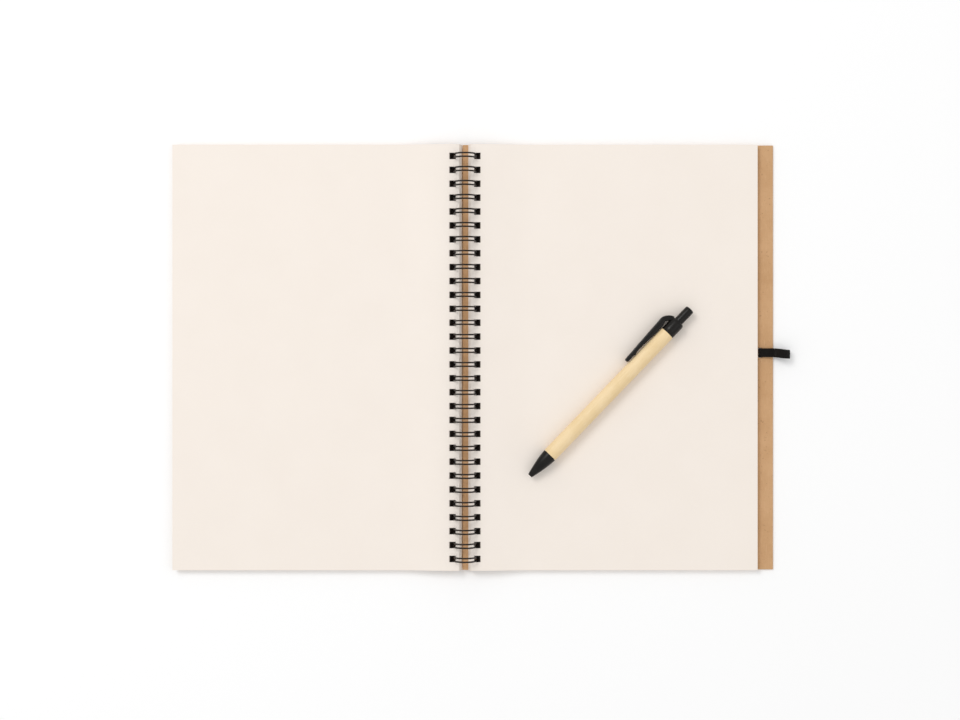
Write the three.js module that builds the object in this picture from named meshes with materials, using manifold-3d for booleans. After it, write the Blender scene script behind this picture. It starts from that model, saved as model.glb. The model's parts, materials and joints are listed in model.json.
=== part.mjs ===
// A spiral-bound sketchbook lying open, with its retractable pen on the right-hand page.
// Millimetres. +X runs across the pages, +Y up the pages along the spine, +Z up from the table.
import * as THREE from "three";
import { mergeVertices } from "three/addons/utils/BufferGeometryUtils.js";
import Module from "manifold-3d";

const wasm = await Module();
wasm.setup();

// ---- Paper and covers ----
const LEAF_HEIGHT = 260; // along the spine
const LEAF_REACH = 173.1; // from the spine side of a hole to the leaf's outer edge
const LEAF_THICKNESS = 0.2;
const LEAF_MARGIN = 2.2; // paper between a hole and the leaf's spine edge
const LEAVES_LEFT = 18;
const LEAVES_RIGHT = 17;
const LOOSE_LEFT = 3; // leaves at the top of the left stack that turn one by one
const SHEET_GAP = 0.05; // air between neighbouring sheets
const COVER_THICKNESS = 1;
const BACK_COVER_OVERHANG = 1.445; // the back cover's spine edge beyond the wire's axis
const COVER_GAP = 0.21; // between the two covers' spine edges
const FRONT_COVER_INSET = 1.95; // the front cover stops short of the leaves' edge
const STRIP_WIDTH = 10.05; // the back cover stands out past the leaves' edge

// ---- Twin-loop wire ----
const PITCH = 25.4 / 3;
const END_MARGIN = 7; // at least this much paper beyond the middle of the first and last loop
const RING_RADIUS = 6.65; // centre line of the wire
const WIRE = 1; // wire diameter
const LEG_SPACING = 2.25; // between the two legs of one loop
const SEAM_HALF_ANGLE = THREE.MathUtils.degToRad(8);
const LEG_STEPS = 10;
const WIRE_SIDES = 4;
const HOLE = 4; // square punched holes
const HOLE_CLEARANCE = 0.2; // between the wire and the paper inside it
const RING_FLOOR_GAP = 0.15;

// ---- Lie of the sheets ----
const COVER_LIFT = 2.25; // height of a cover's underside where it hangs on the wire
const COVER_RISE_END = 40; // distance from the wire's axis at which a cover is flat on the table
const LEAF_RISE_END = 46;
const TOP_LEAF_DROP = 0.1; // top leaf below the wire's axis, at the holes

// ---- Elastic pen loop ----
const RIBBON = 0.9; // elastic's thickness
const RIBBON_WIDTH = 5.4;
const LOOP_Y = 2.9;
const LOOP_LENGTH = 9.5;
const LOOP_HEIGHT = 7.4;
const SLOT_INSET = 0.9; // from the leaves' edge to the slot in the back cover
const SLOT_CLEARANCE = 0.3;
const LOOP_FLOOR_GAP = 0.2;

// ---- Pen: lengths run from the nose, along the pen ----
const PEN_DIAMETER = 9;
const BARREL_WALL = 0.6;
const SPIGOT_CLEARANCE = 0.15;
const NOSE_LENGTH = 17.3;
const NOSE_TIP_DIAMETER = 3;
const NOSE_SPIGOT = 7.7;
const NOSE_WALL = 0.7;
const TIP_HOLE = 2.7;
const SPRING_SEAT = 7.6; // behind the nose
const BARREL_LENGTH = 102.6;
const CAP_LENGTH = 9.6;
const CAP_SPIGOT = 8.5;
const CAP_WALL = 0.65;
const BUTTON_STAND = 10.4; // how far the button stands out of the cap
const BUTTON_INSIDE = 17;
const CAP_RUNNING_GAP = 0.2;
const REFILL_DIAMETER = 3;
const REFILL_BORE = 2;
const REFILL_LENGTH = 91;
const POINT_INSET = 1.2; // ball point behind the nose when the pen is clicked in
const POINT_LENGTH = 11.5;
const POINT_DIAMETER = 2.3;
const COLLAR_DIAMETER = 4.2;
const COLLAR_LENGTH = 1;
const SPRING_LENGTH = 15;
const SPRING_WIRE = 0.45;
const SPRING_CLEARANCE = 0.15; // between the spring and the refill inside it
const SPRING_TURNS = 7;
const CLIP_REACH = 30; // clip's tip in front of the cap
const CLIP_THICKNESS = 2.1;
const CLIP_WIDTH = 4.6;
const CLIP_STAND = 4.1; // clip's outer face from the barrel
const CLIP_BEND = 3.2; // where the clip bends towards the cap, behind the barrel's end
const PEN_ANGLE = THREE.MathUtils.degToRad(46.1);
const PEN_NOSE_X = 39.5;
const PEN_NOSE_Y = -71.9;
const PEN_PAGE_GAP = 0.15;
const END_GAP = 0.3; // between pieces that butt end to end
const ROUND_SEGMENTS = 16;

// ---- Worked out from the values above ----
const loopCount = Math.floor((LEAF_HEIGHT - 2 * END_MARGIN) / PITCH) + 1;
const legArc = 2 * Math.PI - 2 * SEAM_HALF_ANGLE;
const legStep = legArc / LEG_STEPS;
// The legs are drawn with straight steps whose middles and ends lie evenly inside and outside the true ring.
const stepSag = RING_RADIUS * (1 - Math.cos(legStep / 2));
const cornerRadius = RING_RADIUS + stepSag / 2;
const ringAxisZ = RING_RADIUS + WIRE / 2 + RING_FLOOR_GAP;
const insideRing = RING_RADIUS - stepSag / 2 - WIRE / 2 - HOLE_CLEARANCE;
const riseStart = insideRing + HOLE + 0.2;
const leafTopAtHoles = ringAxisZ - TOP_LEAF_DROP;
const coverTopAtHoles = COVER_LIFT + COVER_THICKNESS;
const coverHoleInner = Math.sqrt(insideRing ** 2 - (ringAxisZ - COVER_LIFT) ** 2);
const lowLeafHoleInner = Math.sqrt(insideRing ** 2 - (ringAxisZ - coverTopAtHoles) ** 2);
const topLeafHoleInner = insideRing - 0.1;
const leafEdge = topLeafHoleInner + LEAF_REACH;
const backCoverMargin = coverHoleInner + BACK_COVER_OVERHANG;
const frontCoverMargin = coverHoleInner - BACK_COVER_OVERHANG - COVER_GAP;
const frontCoverEdge = leafEdge - FRONT_COVER_INSET;
const backCoverEdge = leafEdge + STRIP_WIDTH;

const materials = {
  paper: { color: 0xf4ece1, roughness: 0.9, metalness: 0 },
  kraft: { color: 0xc49a6c, roughness: 0.85, metalness: 0 },
  kraftTube: { color: 0xe3c491, roughness: 0.75, metalness: 0 },
  wire: { color: 0x2a201c, roughness: 0.35, metalness: 0.8 },
  elastic: { color: 0x1d1a1a, roughness: 0.95, metalness: 0 },
  plastic: { color: 0x1a1a1a, roughness: 0.35, metalness: 0 },
  ink: { color: 0xdad7cf, roughness: 0.4, metalness: 0 },
  brass: { color: 0xb8985a, roughness: 0.3, metalness: 1 },
  steel: { color: 0x9b9b9b, roughness: 0.3, metalness: 1 },
};

function part(name, geometry, finish) {
  const mesh = new THREE.Mesh(geometry, new THREE.MeshStandardMaterial(materials[finish]));
  mesh.name = name;
  return mesh;
}

function toSolid(geometry) {
  const bare = geometry.clone();
  bare.deleteAttribute("normal");
  bare.deleteAttribute("uv");
  const merged = mergeVertices(bare, 1e-4);
  return new wasm.Manifold(
    new wasm.Mesh({
      numProp: 3,
      vertProperties: new Float32Array(merged.attributes.position.array),
      triVerts: new Uint32Array(merged.index.array),
    }),
  );
}

function toGeometry(solid) {
  const mesh = solid.getMesh();
  return new THREE.BufferGeometry()
    .setAttribute("position", new THREE.BufferAttribute(new Float32Array(mesh.vertProperties), 3))
    .setIndex(new THREE.BufferAttribute(new Uint32Array(mesh.triVerts), 1))
    .toNonIndexed();
}

function loopY(index) {
  return (index - (loopCount - 1) / 2) * PITCH;
}

// 1 at the holes, falling smoothly to 0 where the sheet lies flat.
function rise(distance, end) {
  return 1 - THREE.MathUtils.smoothstep(distance, riseStart, end);
}

function coverUnderside(distance) {
  return COVER_LIFT * rise(distance, COVER_RISE_END);
}

// Height of the surface under the sheet number `index` of a stack of `count`.
function leafSurface(distance, index, count) {
  const flat = count * LEAF_THICKNESS;
  const spread = leafTopAtHoles - coverTopAtHoles - flat;
  const thickness = flat + spread * rise(distance, LEAF_RISE_END);
  return coverUnderside(distance) + COVER_THICKNESS + (thickness * index) / count;
}

// An extrusion along the spine of an outline drawn in the X-Z plane.
function alongSpine(shape, length, middleY) {
  const geometry = new THREE.ExtrudeGeometry(shape, { depth: length, bevelEnabled: false, curveSegments: 6 });
  geometry.rotateX(Math.PI / 2);
  geometry.translate(0, middleY + length / 2, 0);
  return geometry;
}

// Spine side of the holes at the surface under the sheet number `index`: the holes follow the round wire.
function holeInnerAt(index, count) {
  return THREE.MathUtils.lerp(lowLeafHoleInner, topLeafHoleInner, index / count);
}

// A sheet between two surfaces, each { holeInner, height }, with the punched holes cut through both.
function sheet({ side, margin, reach, low, high }) {
  const bends = 4;
  const shared = [riseStart];
  for (let i = 1; i <= bends; i++) {
    shared.push(riseStart + ((LEAF_RISE_END - riseStart) * i) / bends);
  }
  const outline = ({ holeInner, height }) =>
    [holeInner - margin, ...shared, holeInner + reach].map((d) => new THREE.Vector2(side * d, height(d)));
  const shape = new THREE.Shape([...outline(low), ...outline(high).reverse()]);
  let solid = toSolid(alongSpine(shape, LEAF_HEIGHT, 0));
  for (let i = 0; i < loopCount; i++) {
    solid = solid.subtract(toSolid(punch(side, low, high, loopY(i))));
  }
  return solid;
}

// One punched hole, leaning as the stack leans and running out past both surfaces.
function punch(side, low, high, middleY) {
  const bottomZ = low.height(0);
  const topZ = high.height(0);
  const lean = (high.holeInner - low.holeInner) / (topZ - bottomZ);
  const corner = (z, offset) => new THREE.Vector2(side * (low.holeInner + (z - bottomZ) * lean + offset), z);
  const past = 0.5;
  const shape = new THREE.Shape([
    corner(bottomZ - past, 0),
    corner(bottomZ - past, HOLE),
    corner(topZ + past, HOLE),
    corner(topZ + past, 0),
  ]);
  return alongSpine(shape, HOLE, middleY);
}

// Leaves `from` to `to` of a stack, counted up from the cover.
function leaves(side, count, from, to) {
  const surface = (index, gap) => ({
    holeInner: holeInnerAt(index, count),
    height: (d) => leafSurface(d, index, count) + gap,
  });
  return sheet({
    side,
    margin: LEAF_MARGIN,
    reach: LEAF_REACH,
    low: surface(from, SHEET_GAP),
    high: surface(to, 0),
  });
}

function cover(side, margin, edge) {
  const surface = (thickness) => ({
    holeInner: coverHoleInner,
    height: (d) => coverUnderside(d) + thickness,
  });
  const reach = edge - coverHoleInner;
  return sheet({ side, margin, reach, low: surface(0), high: surface(COVER_THICKNESS) });
}

// ---- Pen loop: a tail on the cover's strip, tucked into a slot, and the open loop past the edge ----
const slotInner = leafEdge + SLOT_INSET;
const tailThickness = 2 * RIBBON;
const tailEnd = backCoverEdge + SLOT_CLEARANCE;

function backCover() {
  const slotLength = tailThickness + 2 * SLOT_CLEARANCE;
  const slot = new THREE.BoxGeometry(slotLength, RIBBON_WIDTH + 2 * SLOT_CLEARANCE, 4 * COVER_THICKNESS);
  slot.translate(slotInner + slotLength / 2, LOOP_Y, 0);
  return toGeometry(cover(1, backCoverMargin, backCoverEdge).subtract(toSolid(slot)));
}

function loopTail() {
  const start = slotInner + SLOT_CLEARANCE;
  const surface = COVER_THICKNESS + SHEET_GAP;
  const outline = new THREE.Shape();
  outline.moveTo(start, LOOP_FLOOR_GAP);
  outline.lineTo(start + tailThickness, LOOP_FLOOR_GAP);
  outline.lineTo(start + tailThickness, surface);
  outline.lineTo(tailEnd, surface);
  outline.lineTo(tailEnd, surface + tailThickness);
  outline.lineTo(start + tailThickness / 2, surface + tailThickness);
  outline.lineTo(start, surface + tailThickness / 2);
  return alongSpine(outline, RIBBON_WIDTH, LOOP_Y);
}

function openLoop() {
  const middleX = tailEnd + SHEET_GAP + LOOP_LENGTH / 2;
  const middleZ = LOOP_FLOOR_GAP + LOOP_HEIGHT / 2;
  const outline = new THREE.Shape();
  outline.absellipse(middleX, middleZ, LOOP_LENGTH / 2, LOOP_HEIGHT / 2, 0, 2 * Math.PI, false, 0);
  const hole = new THREE.Path();
  hole.absellipse(middleX, middleZ, LOOP_LENGTH / 2 - RIBBON, LOOP_HEIGHT / 2 - RIBBON, 0, 2 * Math.PI, true, 0);
  outline.holes.push(hole);
  return alongSpine(outline, RIBBON_WIDTH, LOOP_Y);
}

// ---- Wire: one length bent into pairs of legs that run round the ring and back ----
class Polyline extends THREE.Curve {
  constructor(points) {
    super();
    this.points = points;
  }

  getPoint(t, target = new THREE.Vector3()) {
    return target.copy(this.points[Math.round(t * (this.points.length - 1))]);
  }

  getPointAt(t, target) {
    return this.getPoint(t, target);
  }

  getTangentAt(t, target = new THREE.Vector3()) {
    const i = Math.round(t * (this.points.length - 1));
    const here = this.points[i];
    const into = here.clone().sub(this.points[Math.max(i - 1, 0)]).normalize();
    const out = this.points[Math.min(i + 1, this.points.length - 1)].clone().sub(here).normalize();
    return target.addVectors(into, out).normalize();
  }
}

function regularSection(diameter, sides) {
  const points = [];
  for (let i = 0; i < sides; i++) {
    const angle = (2 * Math.PI * (i + 0.5)) / sides;
    points.push(new THREE.Vector2(Math.cos(angle), Math.sin(angle)).multiplyScalar(diameter / 2));
  }
  return new THREE.Shape(points);
}

function alongPath(points, section) {
  return new THREE.ExtrudeGeometry(section, {
    steps: points.length - 1,
    extrudePath: new Polyline(points),
    bevelEnabled: false,
  });
}

function onRing(angle, y) {
  return new THREE.Vector3(cornerRadius * Math.cos(angle), y, ringAxisZ + cornerRadius * Math.sin(angle));
}

function twinLoopWire() {
  const start = -Math.PI / 2 + SEAM_HALF_ANGLE;
  const end = start + legArc;
  const halfSpacing = LEG_SPACING / 2;
  const points = [];
  for (let i = 0; i < loopCount; i++) {
    const y = loopY(i);
    for (let k = 0; k <= LEG_STEPS; k++) {
      points.push(onRing(start + k * legStep, y - halfSpacing));
    }
    for (const turn of [Math.PI / 3, (2 * Math.PI) / 3]) {
      const past = (halfSpacing * Math.sin(turn)) / RING_RADIUS;
      points.push(onRing(end + past, y - halfSpacing * Math.cos(turn)));
    }
    for (let k = LEG_STEPS; k >= 0; k--) {
      points.push(onRing(start + k * legStep, y + halfSpacing));
    }
  }
  return alongPath(points, regularSection(WIRE, WIRE_SIDES));
}

// ---- Pen, drawn standing on its nose: local +Z along the pen, local +X towards the clip ----
const barrelStart = NOSE_LENGTH + END_GAP;
const barrelEnd = barrelStart + BARREL_LENGTH;
const capStart = barrelEnd + END_GAP;
const capEnd = capStart + CAP_LENGTH;
const barrelBore = PEN_DIAMETER / 2 - BARREL_WALL;
const spigotRadius = barrelBore - SPIGOT_CLEARANCE;
const capBore = spigotRadius - CAP_WALL;
const buttonRadius = capBore - CAP_RUNNING_GAP;
const springRadius = (REFILL_DIAMETER + SPRING_WIRE) / 2 + SPRING_CLEARANCE;
const refillStart = POINT_INSET + POINT_LENGTH;
const refillEnd = refillStart + REFILL_LENGTH;
const springStart = SPRING_SEAT + SPRING_WIRE;
const collarStart = springStart + SPRING_LENGTH + SPRING_WIRE;
const buttonStart = capEnd - BUTTON_INSIDE;
const buttonEnd = capEnd + BUTTON_STAND;
const springSpace = springRadius + SPRING_WIRE;

// A turned piece from [radius, height] pairs, closed on itself or on the axis.
function turned(profile) {
  const lathe = new THREE.LatheGeometry(
    profile.map(([radius, height]) => new THREE.Vector2(radius, height)),
    ROUND_SEGMENTS,
  );
  return lathe.rotateX(Math.PI / 2);
}

function tube(outer, inner, from, to) {
  return turned([
    [inner, from],
    [outer, from],
    [outer, to],
    [inner, to],
    [inner, from],
  ]);
}

function rod(radius, from, to) {
  return turned([
    [0, from],
    [radius, from],
    [radius, to],
    [0, to],
  ]);
}

function noseCone() {
  const outside = [];
  const steps = 5;
  for (let i = 0; i <= steps; i++) {
    const t = i / steps;
    const radius = THREE.MathUtils.lerp(NOSE_TIP_DIAMETER, PEN_DIAMETER, Math.sin((t * Math.PI) / 2.3) / Math.sin(Math.PI / 2.3));
    outside.push([radius / 2, NOSE_LENGTH * t]);
  }
  const end = NOSE_LENGTH + NOSE_SPIGOT;
  return turned([
    [TIP_HOLE / 2, 0],
    ...outside,
    [spigotRadius, NOSE_LENGTH],
    [spigotRadius, end],
    [spigotRadius - NOSE_WALL, end],
    [spigotRadius - NOSE_WALL, NOSE_LENGTH],
    [springSpace, NOSE_LENGTH - 1],
    [springSpace, SPRING_SEAT],
    [TIP_HOLE / 2, SPRING_SEAT],
    [TIP_HOLE / 2, 0],
  ]);
}

function capWithClip() {
  const outer = PEN_DIAMETER / 2;
  const body = turned([
    [capBore, capStart - CAP_SPIGOT],
    [spigotRadius, capStart - CAP_SPIGOT],
    [spigotRadius, capStart],
    [outer, capStart],
    [outer, capEnd - 1],
    [outer - 0.6, capEnd],
    [capBore, capEnd],
    [capBore, capStart - CAP_SPIGOT],
  ]);
  const tip = barrelEnd - CLIP_REACH;
  const bend = barrelEnd + CLIP_BEND;
  const back = outer + CLIP_STAND;
  const inner = back - CLIP_THICKNESS;
  const outline = new THREE.Shape();
  outline.moveTo(outer - 0.5, capEnd - 3);
  outline.lineTo(inner, bend);
  outline.lineTo(inner, tip + 6);
  outline.lineTo(outer + 0.5, tip + 4);
  outline.lineTo(inner, tip + 2);
  outline.lineTo(inner + 0.3, tip);
  outline.lineTo(back - 0.8, tip);
  outline.lineTo(back, bend);
  outline.lineTo(back - 0.6, bend + 1.6);
  outline.lineTo(outer - 0.5, capEnd - 0.2);
  const clip = new THREE.ExtrudeGeometry(outline, { depth: CLIP_WIDTH, bevelEnabled: false });
  clip.rotateX(Math.PI / 2);
  clip.translate(0, CLIP_WIDTH / 2, 0);
  return toGeometry(toSolid(body).add(toSolid(clip)));
}

function refillPoint() {
  const radius = POINT_DIAMETER / 2;
  return turned([
    [0, POINT_INSET],
    [0.35, POINT_INSET],
    [0.6, POINT_INSET + 2],
    [radius, POINT_INSET + 4.4],
    [radius, refillStart - END_GAP],
    [REFILL_BORE / 2 - 0.1, refillStart - END_GAP],
    [REFILL_BORE / 2 - 0.1, refillStart + 4],
    [0, refillStart + 4],
  ]);
}

function refillTube() {
  return turned([
    [REFILL_BORE / 2, refillStart],
    [REFILL_DIAMETER / 2, refillStart],
    [REFILL_DIAMETER / 2, collarStart],
    [COLLAR_DIAMETER / 2, collarStart],
    [COLLAR_DIAMETER / 2, collarStart + COLLAR_LENGTH],
    [REFILL_DIAMETER / 2, collarStart + COLLAR_LENGTH],
    [REFILL_DIAMETER / 2, refillEnd],
    [REFILL_BORE / 2, refillEnd],
    [REFILL_BORE / 2, refillStart],
  ]);
}

// The thrust piece that the button pushes, with a stem into the refill's open end.
function thrustCam() {
  const stem = REFILL_BORE / 2 - 0.1;
  return turned([
    [0, refillEnd - 4],
    [stem, refillEnd - 4],
    [stem, refillEnd + END_GAP],
    [buttonRadius, refillEnd + END_GAP + 1],
    [buttonRadius, buttonStart - END_GAP],
    [0, buttonStart - END_GAP],
  ]);
}

function spring() {
  const stepsPerTurn = 8;
  const steps = SPRING_TURNS * stepsPerTurn;
  const points = [];
  for (let i = 0; i <= steps; i++) {
    const angle = (2 * Math.PI * i) / stepsPerTurn;
    const height = springStart + (SPRING_LENGTH * i) / steps;
    points.push(new THREE.Vector3(springRadius * Math.cos(angle), springRadius * Math.sin(angle), height));
  }
  return alongPath(points, regularSection(SPRING_WIRE, WIRE_SIDES));
}

function pushButton() {
  return turned([
    [0, buttonStart],
    [buttonRadius, buttonStart],
    [buttonRadius, buttonEnd - 0.5],
    [buttonRadius - 0.5, buttonEnd],
    [0, buttonEnd],
  ]);
}

function pen() {
  const group = new THREE.Group();
  group.add(
    part("pen_nose_cone", noseCone(), "plastic"),
    part("pen_barrel", tube(PEN_DIAMETER / 2, barrelBore, barrelStart, barrelEnd), "kraftTube"),
    part("pen_cap_clip", capWithClip(), "plastic"),
    part("pen_push_button", pushButton(), "plastic"),
    part("pen_thrust_cam", thrustCam(), "plastic"),
    part("pen_ink_tube", refillTube(), "ink"),
    part("pen_ball_point", refillPoint(), "brass"),
    part("pen_spring", spring(), "steel"),
  );
  const along = new THREE.Vector3(Math.cos(PEN_ANGLE), Math.sin(PEN_ANGLE), 0);
  const toClip = new THREE.Vector3(-Math.sin(PEN_ANGLE), Math.cos(PEN_ANGLE), 0);
  const up = new THREE.Vector3(0, 0, 1);
  group.setRotationFromMatrix(new THREE.Matrix4().makeBasis(toClip, up, along));
  const pageTop = leafSurface(LEAF_RISE_END, LEAVES_RIGHT, LEAVES_RIGHT);
  group.position.set(PEN_NOSE_X, PEN_NOSE_Y, pageTop + PEN_PAGE_GAP + PEN_DIAMETER / 2);
  return group;
}

// ---- Assembly ----
const group = new THREE.Group();
group.add(
  part("back_cover", backCover(), "kraft"),
  part("front_cover", toGeometry(cover(-1, frontCoverMargin, frontCoverEdge)), "kraft"),
  part("twin_loop_wire", twinLoopWire(), "wire"),
);

const leftBlock = LEAVES_LEFT - LOOSE_LEFT;
group.add(part("left_leaf_block", toGeometry(leaves(-1, LEAVES_LEFT, 0, leftBlock)), "paper"));
for (let i = 1; i <= LOOSE_LEFT; i++) {
  const top = LEAVES_LEFT - i + 1;
  group.add(part(`left_leaf_${i}`, toGeometry(leaves(-1, LEAVES_LEFT, top - 1, top)), "paper"));
}
group.add(
  part("right_leaf_block", toGeometry(leaves(1, LEAVES_RIGHT, 0, LEAVES_RIGHT - 1)), "paper"),
  part("right_leaf_1", toGeometry(leaves(1, LEAVES_RIGHT, LEAVES_RIGHT - 1, LEAVES_RIGHT)), "paper"),
  part("pen_loop_tail", loopTail(), "elastic"),
  part("pen_loop", openLoop(), "elastic"),
  pen(),
);

// The origin is under the middle of the whole object, on the table.
const rightEnd = tailEnd + SHEET_GAP + LOOP_LENGTH;
group.position.x = (leafEdge - rightEnd) / 2;

export default group;
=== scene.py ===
import json
import math

import bmesh
import bpy
import numpy as np
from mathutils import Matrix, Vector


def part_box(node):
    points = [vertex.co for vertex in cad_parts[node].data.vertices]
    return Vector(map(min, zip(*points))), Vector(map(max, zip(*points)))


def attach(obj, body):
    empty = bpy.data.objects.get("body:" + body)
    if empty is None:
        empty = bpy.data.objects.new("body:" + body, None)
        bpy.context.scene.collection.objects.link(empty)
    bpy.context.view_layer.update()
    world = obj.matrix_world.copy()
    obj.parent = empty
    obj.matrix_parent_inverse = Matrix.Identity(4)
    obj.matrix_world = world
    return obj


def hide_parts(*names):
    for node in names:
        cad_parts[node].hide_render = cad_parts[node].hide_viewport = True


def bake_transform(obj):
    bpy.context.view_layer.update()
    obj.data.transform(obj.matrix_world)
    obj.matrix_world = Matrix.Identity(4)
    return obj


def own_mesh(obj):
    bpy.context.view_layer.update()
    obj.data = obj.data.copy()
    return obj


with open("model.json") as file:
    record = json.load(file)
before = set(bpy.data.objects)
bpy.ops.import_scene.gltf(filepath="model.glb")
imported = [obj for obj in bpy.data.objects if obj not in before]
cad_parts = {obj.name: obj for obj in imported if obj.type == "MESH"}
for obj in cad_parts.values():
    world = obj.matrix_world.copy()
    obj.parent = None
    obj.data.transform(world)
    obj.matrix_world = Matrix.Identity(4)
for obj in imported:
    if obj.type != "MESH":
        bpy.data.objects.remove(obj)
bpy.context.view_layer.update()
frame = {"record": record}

# A wire-bound sketchbook lying open. Shapes are worked out in millimetres, measured across from the
# wire's axis, along the spine from its middle and up from the table, and turned into metres when a
# mesh is made.
MM = 0.001
JOINTS = {joint["name"]: joint for joint in frame["record"]["behaviour"]["joints"]}
WIRE_AXIS = np.array(JOINTS["front_cover_close"]["pos_m"]) / MM
AXIS_X, _, AXIS_Z = WIRE_AXIS


def node_box(name):
    """A CAD node's lowest and highest corners, in millimetres."""
    low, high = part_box(name)
    return np.array(low) / MM, np.array(high) / MM


# ---- Sizes ----
_, RIGHT_HIGH = node_box("right_leaf_1")
FRONT_LOW, FRONT_HIGH = node_box("front_cover")
BACK_LOW, BACK_HIGH = node_box("back_cover")
HALF_HEIGHT = BACK_HIGH[1]
LEAVES_LEFT = 18
LEAVES_RIGHT = 17
LOOSE_LEFT = 3
LEAF_PITCH = 0.2
LEAF_THICKNESS = 0.186
COVER_THICKNESS = 1.0
CARD_BEVEL = 0.12
COVER_LIFT = FRONT_HIGH[2] - COVER_THICKNESS
COVER_FLAT_FROM = 40
LEAF_FLAT_FROM = 46
LEAF_REACH = 173.1
LEAF_MARGIN = 2.2
TOP_LEAF_DROP = 0.1

LOOP_COUNT = 30
LOOP_PITCH = 25.4 / 3
RING_RADIUS = 6.65
WIRE_DIAMETER = 1.0
WIRE_SIDES = 10
LEG_SPACING = 2.25
SEAM_HALF_ANGLE = math.radians(8)
HOLE = 4.0
TRIM = 0.06
RIPPLE = 0.006
LEAF_RAISE = 0.02
HOLE_PLAY = 0.1
FLAT_PAST_HOLE = 0.2
INSIDE_RING = RIGHT_HIGH[0] - AXIS_X - LEAF_REACH + HOLE_PLAY
BEND_FROM = INSIDE_RING + HOLE + FLAT_PAST_HOLE
BEND_LINES = 11
FLAT_LINES = 6

COVER_HOLE = math.sqrt(INSIDE_RING**2 - (AXIS_Z - COVER_LIFT) ** 2)
LOW_LEAF_HOLE = math.sqrt(INSIDE_RING**2 - (AXIS_Z - COVER_LIFT - COVER_THICKNESS) ** 2)
TOP_LEAF_HOLE = INSIDE_RING - HOLE_PLAY

RNG = np.random.default_rng(12)


# ---- Making meshes ----
def make_piece(name, points, faces, body, material, sharp=40, uv=None):
    """A mesh object from points in millimetres (measured from the wire's axis in X) and faces."""
    verts = (np.asarray(points, float) + [AXIS_X, 0, 0]) * MM
    mesh = bpy.data.meshes.new(name)
    mesh.from_pydata(verts.tolist(), [], [list(map(int, face)) for face in faces])
    mesh.validate()
    if uv is not None:
        layer = mesh.uv_layers.new(name="surface")
        corner = np.empty(len(mesh.loops), dtype=np.int32)
        mesh.loops.foreach_get("vertex_index", corner)
        layer.data.foreach_set("uv", np.asarray(uv, float)[corner].ravel())
    mesh.shade_smooth()
    if sharp:
        mesh.set_sharp_from_angle(angle=math.radians(sharp))
    piece = bpy.data.objects.new(name, mesh)
    bpy.context.scene.collection.objects.link(piece)
    mesh.materials.append(material)
    if body:
        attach(piece, body)
    return piece


def grid_faces(rows, columns, close_rows=False, close_columns=False):
    """Quads of a grid whose points run row by row; either direction can join its end to its start."""
    i = np.arange(rows if close_rows else rows - 1)[:, None]
    j = np.arange(columns if close_columns else columns - 1)[None, :]
    a = i * columns + j
    b = i * columns + (j + 1) % columns
    c = (i + 1) % rows * columns + (j + 1) % columns
    d = (i + 1) % rows * columns + j
    return np.stack([a, b, c, d], axis=-1).reshape(-1, 4)


def joined(*parts):
    """Several (points, faces) as one, the faces renumbered."""
    points, faces, start = [], [], 0
    for part_points, part_faces in parts:
        points.append(np.asarray(part_points, float))
        faces.extend([[int(v) + start for v in face] for face in part_faces])
        start += len(part_points)
    return np.concatenate(points), faces


def smooth_step(value, start, end):
    """0 up to the start, 1 from the end on, and between them a cubic that is level at both."""
    t = np.clip((value - start) / (end - start), 0, 1)
    return t * t * (3 - 2 * t)


# ---- Sheets ----
def cover_underside(distance):
    """Height of a cover's underside: lifted at the wire, and down on the table further out."""
    return COVER_LIFT * (1 - smooth_step(distance, BEND_FROM, COVER_FLAT_FROM))


def leaf_height(distance, level, count):
    """Height of level 0 (on the cover) to count (the top) of a stack of leaves."""
    flat = count * LEAF_PITCH
    spread = AXIS_Z - TOP_LEAF_DROP - COVER_LIFT - COVER_THICKNESS - flat
    thickness = flat + spread * (1 - smooth_step(distance, BEND_FROM, LEAF_FLAT_FROM))
    return cover_underside(distance) + COVER_THICKNESS + thickness * level / count


def loop_middles():
    """Where each double loop's middle is along the spine."""
    return (np.arange(LOOP_COUNT) - (LOOP_COUNT - 1) / 2) * LOOP_PITCH


def sheet_surface(side, hole, inner, outer, height, half_height=HALF_HEIGHT, slot=None):
    """A sheet's middle surface: z is a function of the distance from the wire on a grid of lines
    across and along, and the squares of the grid that lie in a punched hole or slot are left out."""
    across = [inner, hole, hole + HOLE, BEND_FROM]
    across += list(np.linspace(BEND_FROM, LEAF_FLAT_FROM, BEND_LINES)[1:])
    across += list(np.linspace(LEAF_FLAT_FROM, outer, FLAT_LINES)[1:])
    along = [-half_height, half_height]
    for middle in loop_middles():
        along += [middle - HOLE / 2, middle + HOLE / 2]
    if slot is not None:
        across += [slot[0], slot[1]]
        along += [slot[2], slot[3]]
    across = np.array(sorted(set(across)))
    along = np.array(sorted(set(along)))
    x, y = np.meshgrid(across, along)
    points = np.stack([side * x, y, height(x, y)], axis=-1).reshape(-1, 3)
    faces = grid_faces(len(along), len(across))
    mid_x = (across[:-1] + across[1:]) / 2
    mid_y = (along[:-1] + along[1:]) / 2
    cx, cy = (values.ravel() for values in np.meshgrid(mid_x, mid_y))
    nearest = np.abs(cy[:, None] - loop_middles()[None, :]).min(axis=1)
    cut = (cx > hole) & (cx < hole + HOLE) & (nearest < HOLE / 2)
    if slot is not None:
        cut |= (cx > slot[0]) & (cx < slot[1]) & (cy > slot[2]) & (cy < slot[3])
    faces = faces[~cut]
    return points, faces if side > 0 else faces[:, ::-1]


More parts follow.
